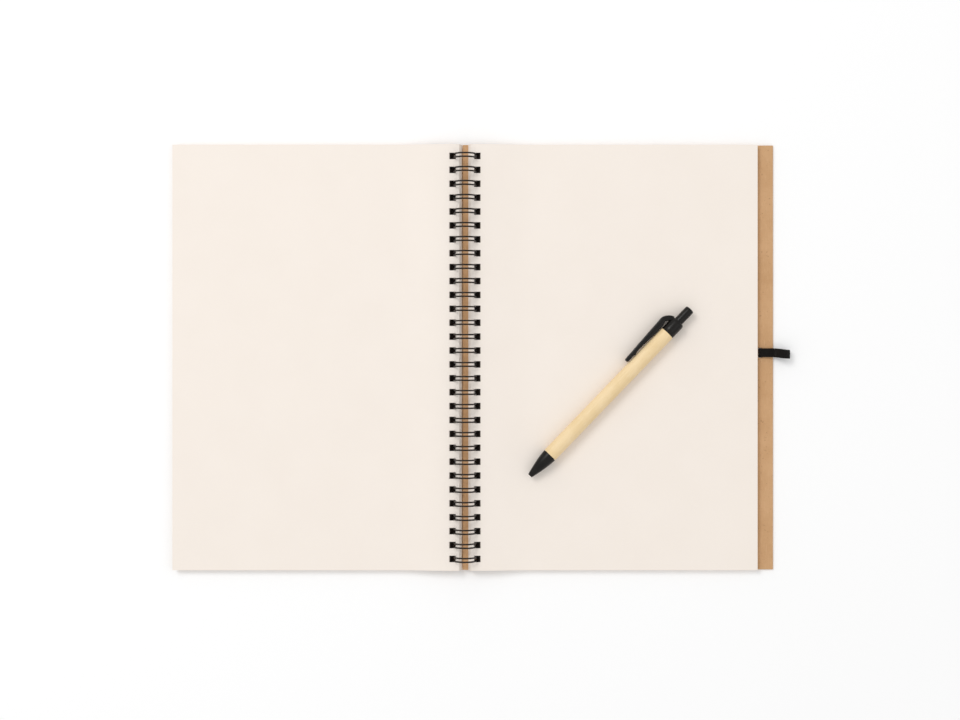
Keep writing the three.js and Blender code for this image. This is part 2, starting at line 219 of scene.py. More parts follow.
def leaf_surface(side, level, count):
    """One leaf: its edges are cut a few hundredths of a millimetre from its neighbours', and its
    height has a faint ripple, a sine across times a cosine along."""
    middle = (level + 0.5) / count
    hole = LOW_LEAF_HOLE + (TOP_LEAF_HOLE - LOW_LEAF_HOLE) * middle
    trim, ripple, phase = RNG.uniform(-TRIM, TRIM), RNG.uniform(0, RIPPLE), RNG.uniform(0, 6.3)

    def height(x, y):
        wave = ripple * np.sin(x / 23 + phase) * np.cos(y / 41 + phase)
        return leaf_height(x, level + 0.5, count) + wave + LEAF_RAISE

    return sheet_surface(
        side, hole, hole - LEAF_MARGIN, hole + LEAF_REACH + trim, height, HALF_HEIGHT - abs(trim)
    )


def mark_cut_edges(mesh):
    """Sharp where a surface ends: an edge with one face only is the edge of a sheet or a hole."""
    used = np.empty(len(mesh.loops), dtype=np.int32)
    mesh.loops.foreach_get("edge_index", used)
    single = np.bincount(used, minlength=len(mesh.edges)) == 1
    sharp = mesh.attributes.get("sharp_edge") or mesh.attributes.new("sharp_edge", "BOOLEAN", "EDGE")
    sharp.data.foreach_set("value", single)


def thicken(piece, thickness, edge, segments=1):
    """Gives a middle surface its thickness and softens the cut edges."""
    mark_cut_edges(piece.data)
    solid = piece.modifiers.new("thickness", "SOLIDIFY")
    solid.thickness = thickness * MM
    solid.offset = 0
    solid.use_even_offset = True
    if edge:
        bevel = piece.modifiers.new("cut_edge", "BEVEL")
        bevel.width = edge * MM
        bevel.segments = segments
        bevel.limit_method = "ANGLE"
        bevel.angle_limit = math.radians(50)
    even = piece.modifiers.new("even_normals", "WEIGHTED_NORMAL")
    even.weight = 80
    even.keep_sharp = True


def build_leaves(name, side, count, levels, body, paper):
    """Several leaves of one stack as one piece, each a thin sheet of its own."""
    points, faces = joined(*(leaf_surface(side, level, count) for level in levels))
    piece = make_piece(name, points, faces, body, paper, sharp=0)
    thicken(piece, LEAF_THICKNESS, 0)
    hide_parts(name.replace("_sheets", "").replace("_sheet", ""))
    return piece


def build_cover(name, node, side, inner, outer, body, kraft, slot=None):
    """A cover: one card of even thickness that follows its underside."""

    def height(x, y):
        return cover_underside(x) + COVER_THICKNESS / 2

    points, faces = sheet_surface(side, COVER_HOLE, inner, outer, height, slot=slot)
    piece = make_piece(name, points, faces, body, kraft, sharp=0)
    thicken(piece, COVER_THICKNESS, CARD_BEVEL, 2)
    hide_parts(node)
    return piece


# ---- Tubes and turned pieces ----
def directions(line):
    """The unit direction of a line at each of its points."""
    ahead = np.gradient(line, axis=0)
    return ahead / np.linalg.norm(ahead, axis=1, keepdims=True)


def distance_along(line):
    """How far each point of a line is from its start, measured along it."""
    return np.concatenate([[0], np.cumsum(np.linalg.norm(np.diff(line, axis=0), axis=1))])


def capped_faces(rings, sides):
    """Faces of a tube whose points run ring by ring, with a flat cap on both ends."""
    faces = grid_faces(rings, sides, close_columns=True).tolist()
    last = (rings - 1) * sides
    faces.append(list(range(sides))[::-1])
    faces.append(list(range(last, last + sides)))
    return faces


def tube_along(path, outward, radius, sides):
    """A round tube: at each point of the path, a circle in the plane of the outward direction and
    the direction square to both it and the path."""
    ahead = directions(path)
    outward = outward - (outward * ahead).sum(1, keepdims=True) * ahead
    outward /= np.linalg.norm(outward, axis=1, keepdims=True)
    across = np.cross(ahead, outward)
    turn = np.linspace(0, 2 * np.pi, sides, endpoint=False)
    circle = np.cos(turn)[None, :, None] * outward[:, None] + np.sin(turn)[None, :, None] * across[:, None]
    points = (path[:, None] + radius * circle).reshape(-1, 3)
    return points, capped_faces(len(path), sides)


def arc_points(middle, radius, start, end, steps):
    """Points on an arc in a plane."""
    angle = np.linspace(start, end, steps)
    return np.stack([middle[0] + radius * np.cos(angle), middle[1] + radius * np.sin(angle)], axis=1)


def wire_route():
    """The wire's route laid out flat, as (distance round the ring, place along the spine): up one
    leg, round a half circle, down the next leg and along to the next pair."""
    half = LEG_SPACING / 2
    corner = 0.9
    first = SEAM_HALF_ANGLE * RING_RADIUS
    last = 2 * np.pi * RING_RADIUS - first
    leg = np.linspace(first + corner, last, 34)[:, None]
    route = []
    for i, y in enumerate(loop_middles()):
        up = leg * [1, 0] + [0, y - half]
        if i:
            into = arc_points((first + corner, y - half - corner), corner, np.pi, np.pi / 2, 5)[:-1]
            route.append(into)
        route.append(up)
        route.append(arc_points((last, y), half, -np.pi / 2, np.pi / 2, 9)[1:-1])
        route.append(up[::-1] + [0, LEG_SPACING])
        if i < LOOP_COUNT - 1:
            out = arc_points((first + corner, y + half + corner), corner, -np.pi / 2, -np.pi, 5)[1:]
            route.append(out)
    return np.concatenate(route)


def build_wire(material):
    """The binding wire: its flat route wrapped round a cylinder about the wire's axis."""
    route = wire_route()
    angle = route[:, 0] / RING_RADIUS - np.pi / 2
    outward = np.stack([np.cos(angle), np.zeros(len(angle)), np.sin(angle)], axis=1)
    path = outward * RING_RADIUS + np.stack([0 * angle, route[:, 1], 0 * angle + AXIS_Z], axis=1)
    points, faces = tube_along(path, outward, WIRE_DIAMETER / 2, WIRE_SIDES)
    piece = make_piece("binding_wire", points, faces, "book", material, sharp=60)
    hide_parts("twin_loop_wire")
    return piece


# ---- Pen sizes and directions ----
# Places along the pen are measured from its nose.
PEN_GAP = 0.3
NOSE_LENGTH = 17.3
BARREL_LENGTH = 102.6
PEN_RADIUS = 4.5
NOSE_TIP_RADIUS = 1.5
BARREL_START = NOSE_LENGTH + PEN_GAP
BARREL_END = BARREL_START + BARREL_LENGTH
CAP_START = BARREL_END + PEN_GAP
CAP_END = CAP_START + 9.6
BUTTON_START = CAP_END - 17
BUTTON_END = CAP_END + 10.4
BUTTON_RADIUS = 2.9
BARREL_BORE = 3.9
SPIGOT_RADIUS = 3.75
REFILL_START = 12.7
REFILL_END = 103.7
SPRING_SEAT = 7.6
SPRING_LENGTH = 15
COLLAR_START = 23.5


def pen_frame():
    """The pen's nose, and its directions: along it from the nose, towards the clip, and up."""
    along = -np.array(JOINTS["pen_click"]["axis"], float)
    along /= np.linalg.norm(along)
    up = np.array([0.0, 0.0, 1.0])
    clip_way = np.cross(up, along)
    low, high = node_box("pen_barrel")
    middle = (low + high) / 2 - [AXIS_X, 0, 0]
    nose = middle - along * (BARREL_START + BARREL_LENGTH / 2)
    return nose, along, clip_way, up


PEN_NOSE, PEN_ALONG, PEN_CLIP_WAY, PEN_UP = pen_frame()


def in_pen(clip_way, upward, along):
    """Points given in the pen's own directions, as arrays of one shape, placed on the page."""
    return (
        PEN_NOSE
        + clip_way[..., None] * PEN_CLIP_WAY
        + upward[..., None] * PEN_UP
        + along[..., None] * PEN_ALONG
    )


def round_in_pen(radius, turn, place):
    """Points round the pen's axis at an angle from the clip's side, and a place along the pen."""
    return in_pen(radius * np.cos(turn), radius * np.sin(turn), place + 0 * turn)


def turned(profile, segments=48):
    """A turned piece: a closed outline of (radius, place along the pen) carried round the pen's axis.
    An outline that starts and ends on the axis is closed with a fan at each end."""
    profile = np.array(profile, float)
    solid = profile[0, 0] == 0
    body = profile[1:-1] if solid else profile
    turn = np.linspace(0, 2 * np.pi, segments, endpoint=False)
    radius, place = body[:, :1], body[:, 1:]
    points = round_in_pen(radius, turn, place).reshape(-1, 3)
    faces = grid_faces(len(body), segments, close_rows=not solid, close_columns=True)[:, ::-1].tolist()
    if solid:
        ends = in_pen(np.zeros(2), np.zeros(2), np.array([profile[0, 1], profile[-1, 1]]))
        first, last, top = len(points), len(points) + 1, (len(body) - 1) * segments
        points = np.concatenate([points, ends])
        here = np.arange(segments)
        after = (here + 1) % segments
        start_fan = np.stack([here, after, np.full(segments, first)], axis=1)
        end_fan = np.stack([top + after, top + here, np.full(segments, last)], axis=1)
        faces += np.stack([start_fan, end_fan], axis=1).reshape(-1, 3).tolist()
    return points, faces


def turned_piece(name, node, profile, body, material, segments=48):
    """A piece of the pen made by carrying its outline round the pen's axis."""
    points, faces = turned(profile, segments)
    piece = make_piece(name, points, faces, body, material, sharp=35)
    fix_normals(piece)
    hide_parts(node)
    return piece


def fix_normals(piece):
    """Turns every face of a closed shell outwards."""
    shell = bmesh.new()
    shell.from_mesh(piece.data)
    bmesh.ops.recalc_face_normals(shell, faces=shell.faces)
    shell.to_mesh(piece.data)
    shell.free()


# ---- Pen pieces ----
def nose_profile():
    """The nose's outline: a slightly swollen cone outside, a fine hole and the spring's room inside."""
    t = np.linspace(0, 1, 26)
    swell = np.sin(t * math.pi / 2.3) / math.sin(math.pi / 2.3)
    outside = np.stack([NOSE_TIP_RADIUS + (PEN_RADIUS - NOSE_TIP_RADIUS) * swell, NOSE_LENGTH * t], axis=1)
    hole, room, end = 1.35, 2.325, NOSE_LENGTH + 7.7
    lip = [[hole, 0.5], [hole + 0.3, 0.08], [NOSE_TIP_RADIUS - 0.15, 0.0], [NOSE_TIP_RADIUS, 0.18]]
    ring = [[PEN_RADIUS, NOSE_LENGTH - 0.1], [PEN_RADIUS - 0.1, NOSE_LENGTH], [SPIGOT_RADIUS, NOSE_LENGTH]]
    inside = [
        [SPIGOT_RADIUS, end],
        [SPIGOT_RADIUS - 0.7, end],
        [SPIGOT_RADIUS - 0.7, NOSE_LENGTH],
        [room, NOSE_LENGTH - 1],
        [room, SPRING_SEAT],
        [hole, SPRING_SEAT],
    ]
    return lip + outside[1:-1].tolist() + ring + inside


def build_barrel(material):
    """The paper tube, with a shallow spiral seam where the wound strip's edges meet."""
    turn = np.linspace(0, 2 * np.pi, 72, endpoint=False)
    place = np.linspace(BARREL_START, BARREL_END, 240)
    seam_lead, seam_depth, seam_reach, end_chamfer = 34, 0.035, 0.35, 0.1
    phase = (place[:, None] / seam_lead - turn[None, :] / (2 * np.pi)) % 1
    near_seam = np.minimum(phase, 1 - phase) * seam_lead
    dent = seam_depth * np.exp(-((near_seam / seam_reach) ** 2))
    radius = PEN_RADIUS - 0.01 - dent
    radius[[0, -1]] -= end_chamfer
    outer = round_in_pen(radius, turn, place[:, None])
    bore = np.full((2, 1), BARREL_BORE)
    ends = np.array([[BARREL_END], [BARREL_START]])
    inner = round_in_pen(bore, turn, ends)
    points = np.concatenate([outer, inner]).reshape(-1, 3)
    faces = grid_faces(len(place) + 2, len(turn), close_rows=True, close_columns=True)
    piece = make_piece("pen_paper_tube", points, faces, "pen", material, sharp=35)
    fix_normals(piece)
    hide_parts("pen_barrel")
    return piece


def clip_points():
    """The clip's middle line, as (out from the pen's axis, place along it): it leaves the cap, bends,
    and runs beside the barrel."""
    outline = np.array([
        [3.4, CAP_END - 1.2],
        [4.9, CAP_END - 1.9],
        [6.6, CAP_END - 3.6],
        [7.6, BARREL_END + 4.7],
        [7.8, BARREL_END + 3.2],
        [7.65, BARREL_END + 0.5],
        [7.2, BARREL_END - 10.0],
        [6.5, BARREL_END - 23.0],
        [6.2, BARREL_END - 29.6],
    ])
    return smooth_curve(outline, 70)


def smooth_curve(points, count):
    """A curve through every point: each stretch is a cubic whose slope at a point is that of its
    neighbours' chord, and the result is spaced evenly."""
    points = np.asarray(points, float)
    padded = np.concatenate([[2 * points[0] - points[1]], points, [2 * points[-1] - points[-2]]])
    t = np.linspace(0, 1, 40, endpoint=False)[:, None]
    pieces = []
    for a, b, c, d in zip(padded, padded[1:], padded[2:], padded[3:]):
        pieces.append(
            0.5 * (2 * b + (c - a) * t + (2 * a - 5 * b + 4 * c - d) * t**2 + (3 * b - a - 3 * c + d) * t**3)
        )
    dense = np.concatenate([*pieces, points[-1:]])
    run = distance_along(dense)
    even = np.linspace(0, run[-1], count)
    return np.stack([np.interp(even, run, dense[:, k]) for k in range(dense.shape[1])], axis=1)


def superellipse(half_wide, half_thick, count=24, power=4.0):
    """A rounded rectangle: both coordinates are a cosine and a sine raised to a small power."""
    angle = np.linspace(0, 2 * np.pi, count, endpoint=False)
    cosine, sine = np.cos(angle), np.sin(angle)
    wide = half_wide * np.sign(cosine) * np.abs(cosine) ** (2 / power)
    thick = half_thick * np.sign(sine) * np.abs(sine) ** (2 / power)
    return wide, thick


def cap_shell():
    """The cap: its spigot in the barrel, its collar and its softened end, round the pen's axis."""
    bore, spigot_start = 3.1, CAP_START - 8.5
    return turned([
        [bore, spigot_start],
        [SPIGOT_RADIUS - 0.2, spigot_start],
        [SPIGOT_RADIUS, spigot_start + 0.3],
        [SPIGOT_RADIUS, CAP_START],
        [PEN_RADIUS - 0.1, CAP_START],
        [PEN_RADIUS, CAP_START + 0.12],
        [PEN_RADIUS - 0.02, CAP_START + 3.0],
        [PEN_RADIUS - 0.05, CAP_END - 1.6],
        [PEN_RADIUS - 0.22, CAP_END - 0.75],
        [PEN_RADIUS - 0.6, CAP_END - 0.15],
        [PEN_RADIUS - 0.95, CAP_END],
        [bore + 0.1, CAP_END],
        [bore, CAP_END - 0.15],
    ])


def clip_bar():
    """The clip: a rounded bar along its middle line, thicker at its root and thinner at its end. Its
    inner side has a web that fades out along the barrel, and a small foot that rests on it."""
    middle = clip_points()
    count = len(middle)
    ahead = directions(middle)
    square = np.stack([ahead[:, 1], -ahead[:, 0]], axis=1)
    side = 1 if square[count // 2, 0] > 0 else -1
    t = np.linspace(0, 1, count)
    root = 1 - smooth_step(t, 0.08, 0.22)
    end = np.clip((t - 0.985) / 0.015, 0, 1)
    foot = 0.5 * np.exp(-(((t - 0.83) / 0.03) ** 2))
    web = 1.45 * (1 - smooth_step(t, 0.3, 0.78)) * smooth_step(t, 0.1, 0.24)
    taper = 1 - 0.16 * t - 0.55 * end
    wide, thick = superellipse(2.3, 1.25)
    inward = (thick < 0)[None, :]
    depth = thick[None, :] * (1 + 0.35 * root)[:, None] * (1 - 0.5 * end)[:, None]
    offset = side * (depth - (foot + web)[:, None] * inward)
    across = middle[:, :1] + square[:, :1] * offset
    place = middle[:, 1:] + square[:, 1:] * offset
    upward = taper[:, None] * wide[None, :] + 0 * across
    return in_pen(across, upward, place).reshape(-1, 3), capped_faces(count, len(wide))


def build_cap(material):
    """The cap and the clip that springs from it, as one moulding."""
    points, faces = joined(cap_shell(), clip_bar())
    piece = make_piece("pen_cap_moulding", points, faces, "pen", material, sharp=50)
    fix_normals(piece)
    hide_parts("pen_cap_clip")
    return piece


def build_button(material):
    """The push button: a round stem with four shallow flutes and a softly domed end."""
    turn = np.linspace(0, 2 * np.pi, 64, endpoint=False)
    place = np.array([0, 0.25, 1.0, 16.4, 17.4, 18.2, 24.8, 25.8, 26.5, 27.0, 27.3, 27.4]) + BUTTON_START
    size = np.array([0.92, 1, 1, 1, 0.985, 1, 1, 1, 0.985, 0.93, 0.84, 0.7])
    flute = 0.16 * np.clip(np.cos(4 * turn) - 0.72, 0, 1)[None, :] / 0.28
    starts = smooth_step(place, CAP_END + 1.2, CAP_END + 2.2)
    stops = smooth_step(place, BUTTON_END - 1.6, BUTTON_END - 0.9)
    deep = starts * (1 - stops)
    radius = (BUTTON_RADIUS * size)[:, None] - flute * deep[:, None]
    points = round_in_pen(radius, turn, place[:, None]).reshape(-1, 3)
    faces = capped_faces(len(place), len(turn))
    piece = make_piece("pen_button_stem", points, faces, "pen_button", material, sharp=40)
    fix_normals(piece)
    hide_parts("pen_push_button")
    return piece


def build_spring(material):
    """A wire helix round the refill: closed coils at both ends and an even pitch between."""
    turns, per_turn, radius, wire = 9, 28, 1.875, 0.4
    t = np.linspace(0, 1, turns * per_turn + 1)
    angle = 2 * np.pi * turns * t
    seat_gap, extra = 0.25, 0.2
    place = SPRING_SEAT + seat_gap + (SPRING_LENGTH + extra) * smooth_ends(t)
    path = round_in_pen(radius, angle, place)
    outward = np.cos(angle)[:, None] * PEN_CLIP_WAY + np.sin(angle)[:, None] * PEN_UP
    points, faces = tube_along(path, outward, wire / 2, 8)
    piece = make_piece("pen_return_spring", points, faces, "pen", material, sharp=60)
    fix_normals(piece)
    tuple(PEN_ALONG)
    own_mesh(piece)
    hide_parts("pen_spring")
    return piece


def smooth_ends(t):
    """0 to 1, slower near both ends, where a spring's coils close up: a straight line less two small
    sine waves."""
    eased = t - 0.03 * np.sin(4 * np.pi * t)
    return 0.5 * t + 0.5 * (eased - 0.02 * np.sin(2 * np.pi * t))


def cam_profile():
    """The thrust cam's outline: a stem that enters the ink tube, and a head as wide as the button."""
    return [
        [0, REFILL_END - 4],
        [0.85, REFILL_END - 4],
        [0.9, REFILL_END + 0.3],
        [BUTTON_RADIUS - 0.5, REFILL_END + 0.9],
        [BUTTON_RADIUS, REFILL_END + 1.5],
        [BUTTON_RADIUS, BUTTON_START - 1.0],
        [BUTTON_RADIUS - 0.4, BUTTON_START - 0.3],
        [0, BUTTON_START - 0.3],
    ]


def ink_tube_profile():
    """The ink tube's outline: a plain tube with the collar that the spring pushes on."""
    return [
        [1.0, REFILL_START],
        [1.4, REFILL_START],
        [1.5, REFILL_START + 0.2],
        [1.5, COLLAR_START],
        [2.0, COLLAR_START],
        [2.1, COLLAR_START + 0.1],
        [2.1, COLLAR_START + 0.9],
        [2.0, COLLAR_START + 1],
        [1.5, COLLAR_START + 1],
        [1.5, REFILL_END],
        [1.0, REFILL_END],
    ]


def point_profile():
    """The ball point's outline: the tip, two cones, a barrel and the stem that enters the ink tube."""
    return [
        [0, 1.2],
        [0.25, 1.25],
        [0.36, 1.4],
        [0.42, 1.6],
        [0.62, 3.2],
        [0.75, 3.4],
        [1.12, 5.5],
        [1.15, REFILL_START - 0.35],
        [0.9, REFILL_START - 0.3],
        [0.9, REFILL_START + 3.8],
        [0, REFILL_START + 4],
    ]


def build_pen(materials):
    plastic, ink, brass = materials["plastic"], materials["ink"], materials["brass"]
    turned_piece("pen_nose", "pen_nose_cone", nose_profile(), "pen", plastic, 64)
    build_barrel(materials["kraft_tube"])
    build_cap(plastic)
    build_button(plastic)
    build_spring(materials["steel"])
    turned_piece("pen_thrust_piece", "pen_thrust_cam", cam_profile(), "pen_refill", plastic)
    turned_piece("pen_refill_tube", "pen_ink_tube", ink_tube_profile(), "pen_refill", ink)
    turned_piece("pen_point", "pen_ball_point", point_profile(), "pen_refill", brass)


# ---- Elastic pen loop ----
SLOT_GAP = 0.3
SLOT_WIDTH = 2.4
ELASTIC_THICKNESS = 0.82
LOOP_LEAN = 0.95
TAIL_LOW, TAIL_HIGH = node_box("pen_loop_tail")
RIBBON_LOW, RIBBON_HIGH = node_box("pen_loop")
RIBBON_EDGE = TAIL_HIGH[0] - AXIS_X
LOWER_LAYER = COVER_THICKNESS + 0.08 + ELASTIC_THICKNESS / 2
UPPER_LAYER = LOWER_LAYER + ELASTIC_THICKNESS + 0.04


def elastic_route():
    """The ribbon's middle line, as (across, up): up through the slot in the cover, along the strip,
    round the open loop and back on top of itself into the slot."""
    slot_x, edge_x = TAIL_LOW[0] - AXIS_X, RIBBON_EDGE
    left, right = RIBBON_LOW[0] - AXIS_X, RIBBON_HIGH[0] - AXIS_X
    low, high = RIBBON_LOW[2], RIBBON_HIGH[2]
    thick, lower, upper = ELASTIC_THICKNESS, LOWER_LAYER, UPPER_LAYER
    mid_x, mid_z = (left + right) / 2, (low + high) / 2
    return smooth_curve([
        [slot_x + 1.36, 0.35],
        [slot_x + 1.38, 1.0],
        [slot_x + 1.75, lower],
        [slot_x + 3.0, lower],
        [edge_x - 2.0, lower],
        [edge_x - 0.2, lower],
        [left + 1.6, low + 1.0],
        [mid_x - 0.4, low + thick / 2 + 0.1],
        [right - 1.7, low + 1.25],
        [right - thick / 2, mid_z],
        [right - 1.7, high - 1.35],
        [mid_x - 0.2, high - thick / 2],
        [left + 1.9, high - 1.6],
        [edge_x + 0.35, upper + 0.75],
        [edge_x - 1.4, upper],
        [edge_x - 3.0, upper],
        [slot_x + 3.0, upper],
        [slot_x + 1.2, upper - 0.12],
        [slot_x + 0.5, lower + 0.2],
        [slot_x + 0.42, 1.0],
        [slot_x + 0.42, 0.35],
    ], 190)


def build_elastic(material):
    """The ribbon: its section is a rounded bar with woven ribs running lengthwise, and the loop leans
    a little along the spine."""
    thick, edge_x = ELASTIC_THICKNESS, RIBBON_EDGE
    right = RIBBON_HIGH[0] - AXIS_X
    middle_y = (RIBBON_LOW[1] + RIBBON_HIGH[1]) / 2
    width = RIBBON_HIGH[1] - RIBBON_LOW[1]
    line = elastic_route()
    ahead = directions(line)
    square = np.stack([-ahead[:, 1], ahead[:, 0]], axis=1)
    wide, deep = superellipse(width / 2, thick / 2, 56, 5.0)
    rib_count, rib_depth, thread_pitch, thread_depth = 6, 0.12, 0.7, 0.035
    ribs = 1 + rib_depth * np.cos(2 * np.pi * rib_count * wide / width)
    run = distance_along(line)
    weave = 1 + thread_depth * np.sin(2 * np.pi * run / thread_pitch)[:, None]
    deep = deep[None, :] * ribs[None, :] * weave
    x = line[:, :1] + square[:, :1] * deep
    z = line[:, 1:] + square[:, 1:] * deep
    lean = -LOOP_LEAN * smooth_step(x, edge_x - 1.5, right)
    y = middle_y + wide[None, :] + lean
    points = np.stack([x, y + 0 * x, z], axis=-1).reshape(-1, 3)
    faces = capped_faces(len(line), len(wide))
    uv = np.stack(np.broadcast_arrays(run[:, None] / 10, wide[None, :] / 10), axis=-1).reshape(-1, 2)
    piece = make_piece("elastic_ribbon", points, faces, None, material, sharp=60, uv=uv)
    fix_normals(piece)
    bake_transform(piece)
    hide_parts("pen_loop_tail", "pen_loop")
    return piece


# ---- Finishes ----
class Finish:
    """A material with short ways to add the nodes that these finishes share."""

    def __init__(self, name, **sockets):
        self.material = bpy.data.materials.new(name)
        self.material.use_nodes = True
        self.tree = self.material.node_tree
        self.shader = self.tree.nodes["Principled BSDF"]
        for socket, value in sockets.items():
            self.shader.inputs[socket.replace("_", " ")].default_value = value
        self.place = self.tree.nodes.new("ShaderNodeTexCoord").outputs["Object"]

    def link(self, output, to_input):
        self.tree.links.new(output, to_input)

    def stretched(self, scale, turn=(0, 0, 0), source=None):
        mapping = self.tree.nodes.new("ShaderNodeMapping")
        mapping.inputs["Scale"].default_value = scale
        mapping.inputs["Rotation"].default_value = turn
        self.link(source or self.place, mapping.inputs["Vector"])
        return mapping.outputs["Vector"]

    def noise(self, scale, detail=4, rough=0.55, vector=None, distortion=0):
        node = self.tree.nodes.new("ShaderNodeTexNoise")
        node.inputs["Scale"].default_value = scale
        node.inputs["Detail"].default_value = detail
        node.inputs["Roughness"].default_value = rough
        node.inputs["Distortion"].default_value = distortion
        self.link(vector or self.place, node.inputs["Vector"])
        return node.outputs["Fac"]

    def between(self, value, low, high, to_low=0.0, to_high=1.0):
        """A value's place between two limits, as a number from to_low to to_high."""
        node = self.tree.nodes.new("ShaderNodeMapRange")
        for socket, number in zip(("From Min", "From Max", "To Min", "To Max"), (low, high, to_low, to_high)):
            node.inputs[socket].default_value = number
        self.link(value, node.inputs["Value"])
        return node.outputs["Result"]

    def mixed(self, amount, first, second):
        """From the first colour to the second; each is a colour or another node's output."""
        node = self.tree.nodes.new("ShaderNodeMix")
        node.data_type = "RGBA"
        self.link(amount, node.inputs["Factor"])
        for name, colour in (("A", first), ("B", second)):
            socket = next(s for s in node.inputs if s.name == name and s.type == "RGBA")
            if isinstance(colour, tuple):
                socket.default_value = (*colour, 1)
            else:
                self.link(colour, socket)
        return next(s for s in node.outputs if s.type == "RGBA")

    def summed(self, first, second, weight):
        """The first value plus the second times a weight."""
        node = self.tree.nodes.new("ShaderNodeMath")
        node.operation = "MULTIPLY_ADD"
        self.link(second, node.inputs[0])
        node.inputs[1].default_value = weight
        self.link(first, node.inputs[2])
        return node.outputs[0]

    def position(self):
        """The place on the piece as three outputs, in metres."""
        split = self.tree.nodes.new("ShaderNodeSeparateXYZ")
        self.link(self.place, split.inputs["Vector"])
        return split.outputs

    def product(self, *values):
        """All the values multiplied together."""
        total = values[0]
        for value in values[1:]:
            node = self.tree.nodes.new("ShaderNodeMath")
            node.operation = "MULTIPLY"
            self.link(total, node.inputs[0])
            self.link(value, node.inputs[1])
            total = node.outputs[0]
        return total

    def from_spine(self):
        """Distance across the pages from the wire's axis."""
        return self.distance("X", AXIS_X * MM)

    def distance(self, axis, middle):
        """How far a place is from a middle along one direction, either way."""
        away = self.tree.nodes.new("ShaderNodeMath")
        away.operation = "SUBTRACT"
        self.link(self.position()[axis], away.inputs[0])
        away.inputs[1].default_value = middle
        size = self.tree.nodes.new("ShaderNodeMath")
        size.operation = "ABSOLUTE"
        self.link(away.outputs[0], size.inputs[0])
        return size.outputs[0]

    def bump(self, height, distance, strength=0.6):
        node = self.tree.nodes.new("ShaderNodeBump")
        node.inputs["Distance"].default_value = distance
        node.inputs["Strength"].default_value = strength
        self.link(height, node.inputs["Height"])
        self.link(node.outputs["Normal"], self.shader.inputs["Normal"])

    def colour(self, output):
        self.link(output, self.shader.inputs["Base Color"])

    def roughness(self, output):
        self.link(output, self.shader.inputs["Roughness"])


def between_end_holes(look):
    """1 from the first hole to the last along the spine, 0 at the sheet's ends."""
    last = (loop_middles()[-1] + HOLE / 2) * MM
    return look.between(look.distance("Y", 0), last + 0.0003, last + 0.0005, 1, 0)


def painted_hole_shade_masks(look):
    """Four masks for painted shade, all 1 where a lower leaf shows through the holes above it: near the
    spine, below the top leaf, past the leaf's own inner edge, and between the end holes."""
    hole_outer, leaf_inner = (0.0099, 0.0102), (0.0037, 0.0042)
    near = look.between(look.from_spine(), *hole_outer, 1, 0)
    below = look.between(look.position()["Z"], (AXIS_Z - 1.5) * MM, (AXIS_Z - 0.45) * MM, 1, 0)
    past_edge = look.between(look.from_spine(), *leaf_inner, 0, 1)
    return near, below, past_edge, between_end_holes(look)


def cream_paper():
    """Uncoated cream drawing paper: a soft tooth, faint clouding and a few pale fibres, with painted shade on
    the lower leaves where they show through the punched holes.
    """
    look = Finish("cream_paper", Specular_IOR_Level=0.25)
    tooth = look.noise(1700, 5, 0.6)
    cloud = look.noise(38, 3, 0.5)
    fibre = look.noise(1, 3, 0.6, look.stretched((260, 1900, 260), (0, 0, 0.5)), 0.4)
    tone = look.mixed(look.between(cloud, 0.35, 0.65), (0.880, 0.805, 0.733), (0.889, 0.815, 0.744))
    tone = look.mixed(look.between(fibre, 0.6, 0.75, 0, 0.35), tone, (0.92, 0.86, 0.80))
    tone = look.mixed(look.between(tooth, 0.3, 0.45, 0.12, 0), tone, (0.80, 0.71, 0.62))
    # Painted shade: lower leaves seen through the punched holes are darkened to near black.
    look.colour(look.mixed(look.product(*painted_hole_shade_masks(look)), tone, (0.03, 0.02, 0.015)))
    look.roughness(look.between(tooth, 0.2, 0.8, 0.82, 0.95))
    look.bump(look.summed(tooth, fibre, 0.5), 0.00004, 0.35)
    return look.material


def kraft_card():
    """Brown kraft card: crossing fibres, darker and paler flecks, and a matt uneven surface, with painted
    shade on the inside face round the punched holes.
    """
    look = Finish("kraft_card", Specular_IOR_Level=0.3)
    cloud = look.noise(55, 4, 0.6)
    fine = look.noise(1400, 6, 0.65)
    long_fibre = look.noise(1, 4, 0.65, look.stretched((2100, 210, 900), (0, 0, 0.15)), 0.6)
    cross_fibre = look.noise(1, 4, 0.65, look.stretched((260, 1900, 900), (0, 0, -0.5)), 0.6)
    fleck = look.noise(620, 2, 0.4)
    tone = look.mixed(look.between(cloud, 0.3, 0.7), (0.52, 0.298, 0.142), (0.60, 0.362, 0.188))
    tone = look.mixed(look.between(long_fibre, 0.52, 0.72, 0, 0.5), tone, (0.68, 0.44, 0.25))
    tone = look.mixed(look.between(cross_fibre, 0.56, 0.74, 0, 0.45), tone, (0.43, 0.235, 0.105))
    tone = look.mixed(look.between(fleck, 0.68, 0.74, 0, 0.6), tone, (0.30, 0.155, 0.065))
    tone = look.mixed(look.between(fine, 0.3, 0.7, 0, 0.25), tone, (0.64, 0.40, 0.22))
    # Painted shade: the cover's inside face, between the strip and the holes' outer edge, is darkened to near
    # black where it shows through the holes in the leaves.
    hole_outer, hole_inner = (0.0098, 0.0102), (0.0040, 0.0045)
    near = look.between(look.from_spine(), *hole_outer, 1, 0)
    past_strip = look.between(look.from_spine(), *hole_inner, 0, 1)
    inside_face = (COVER_LIFT + COVER_THICKNESS) * MM
    inner = look.between(look.position()["Z"], inside_face - 0.0002, inside_face - 0.0001)
    painted_hole_shade = look.product(near, past_strip, inner, between_end_holes(look))
    look.colour(look.mixed(painted_hole_shade, tone, (0.02, 0.012, 0.008)))
    look.roughness(look.between(fine, 0.2, 0.8, 0.72, 0.92))
    height = look.summed(look.summed(fine, long_fibre, 0.6), cross_fibre, 0.6)
    look.bump(height, 0.00005, 0.5)
    return look.material


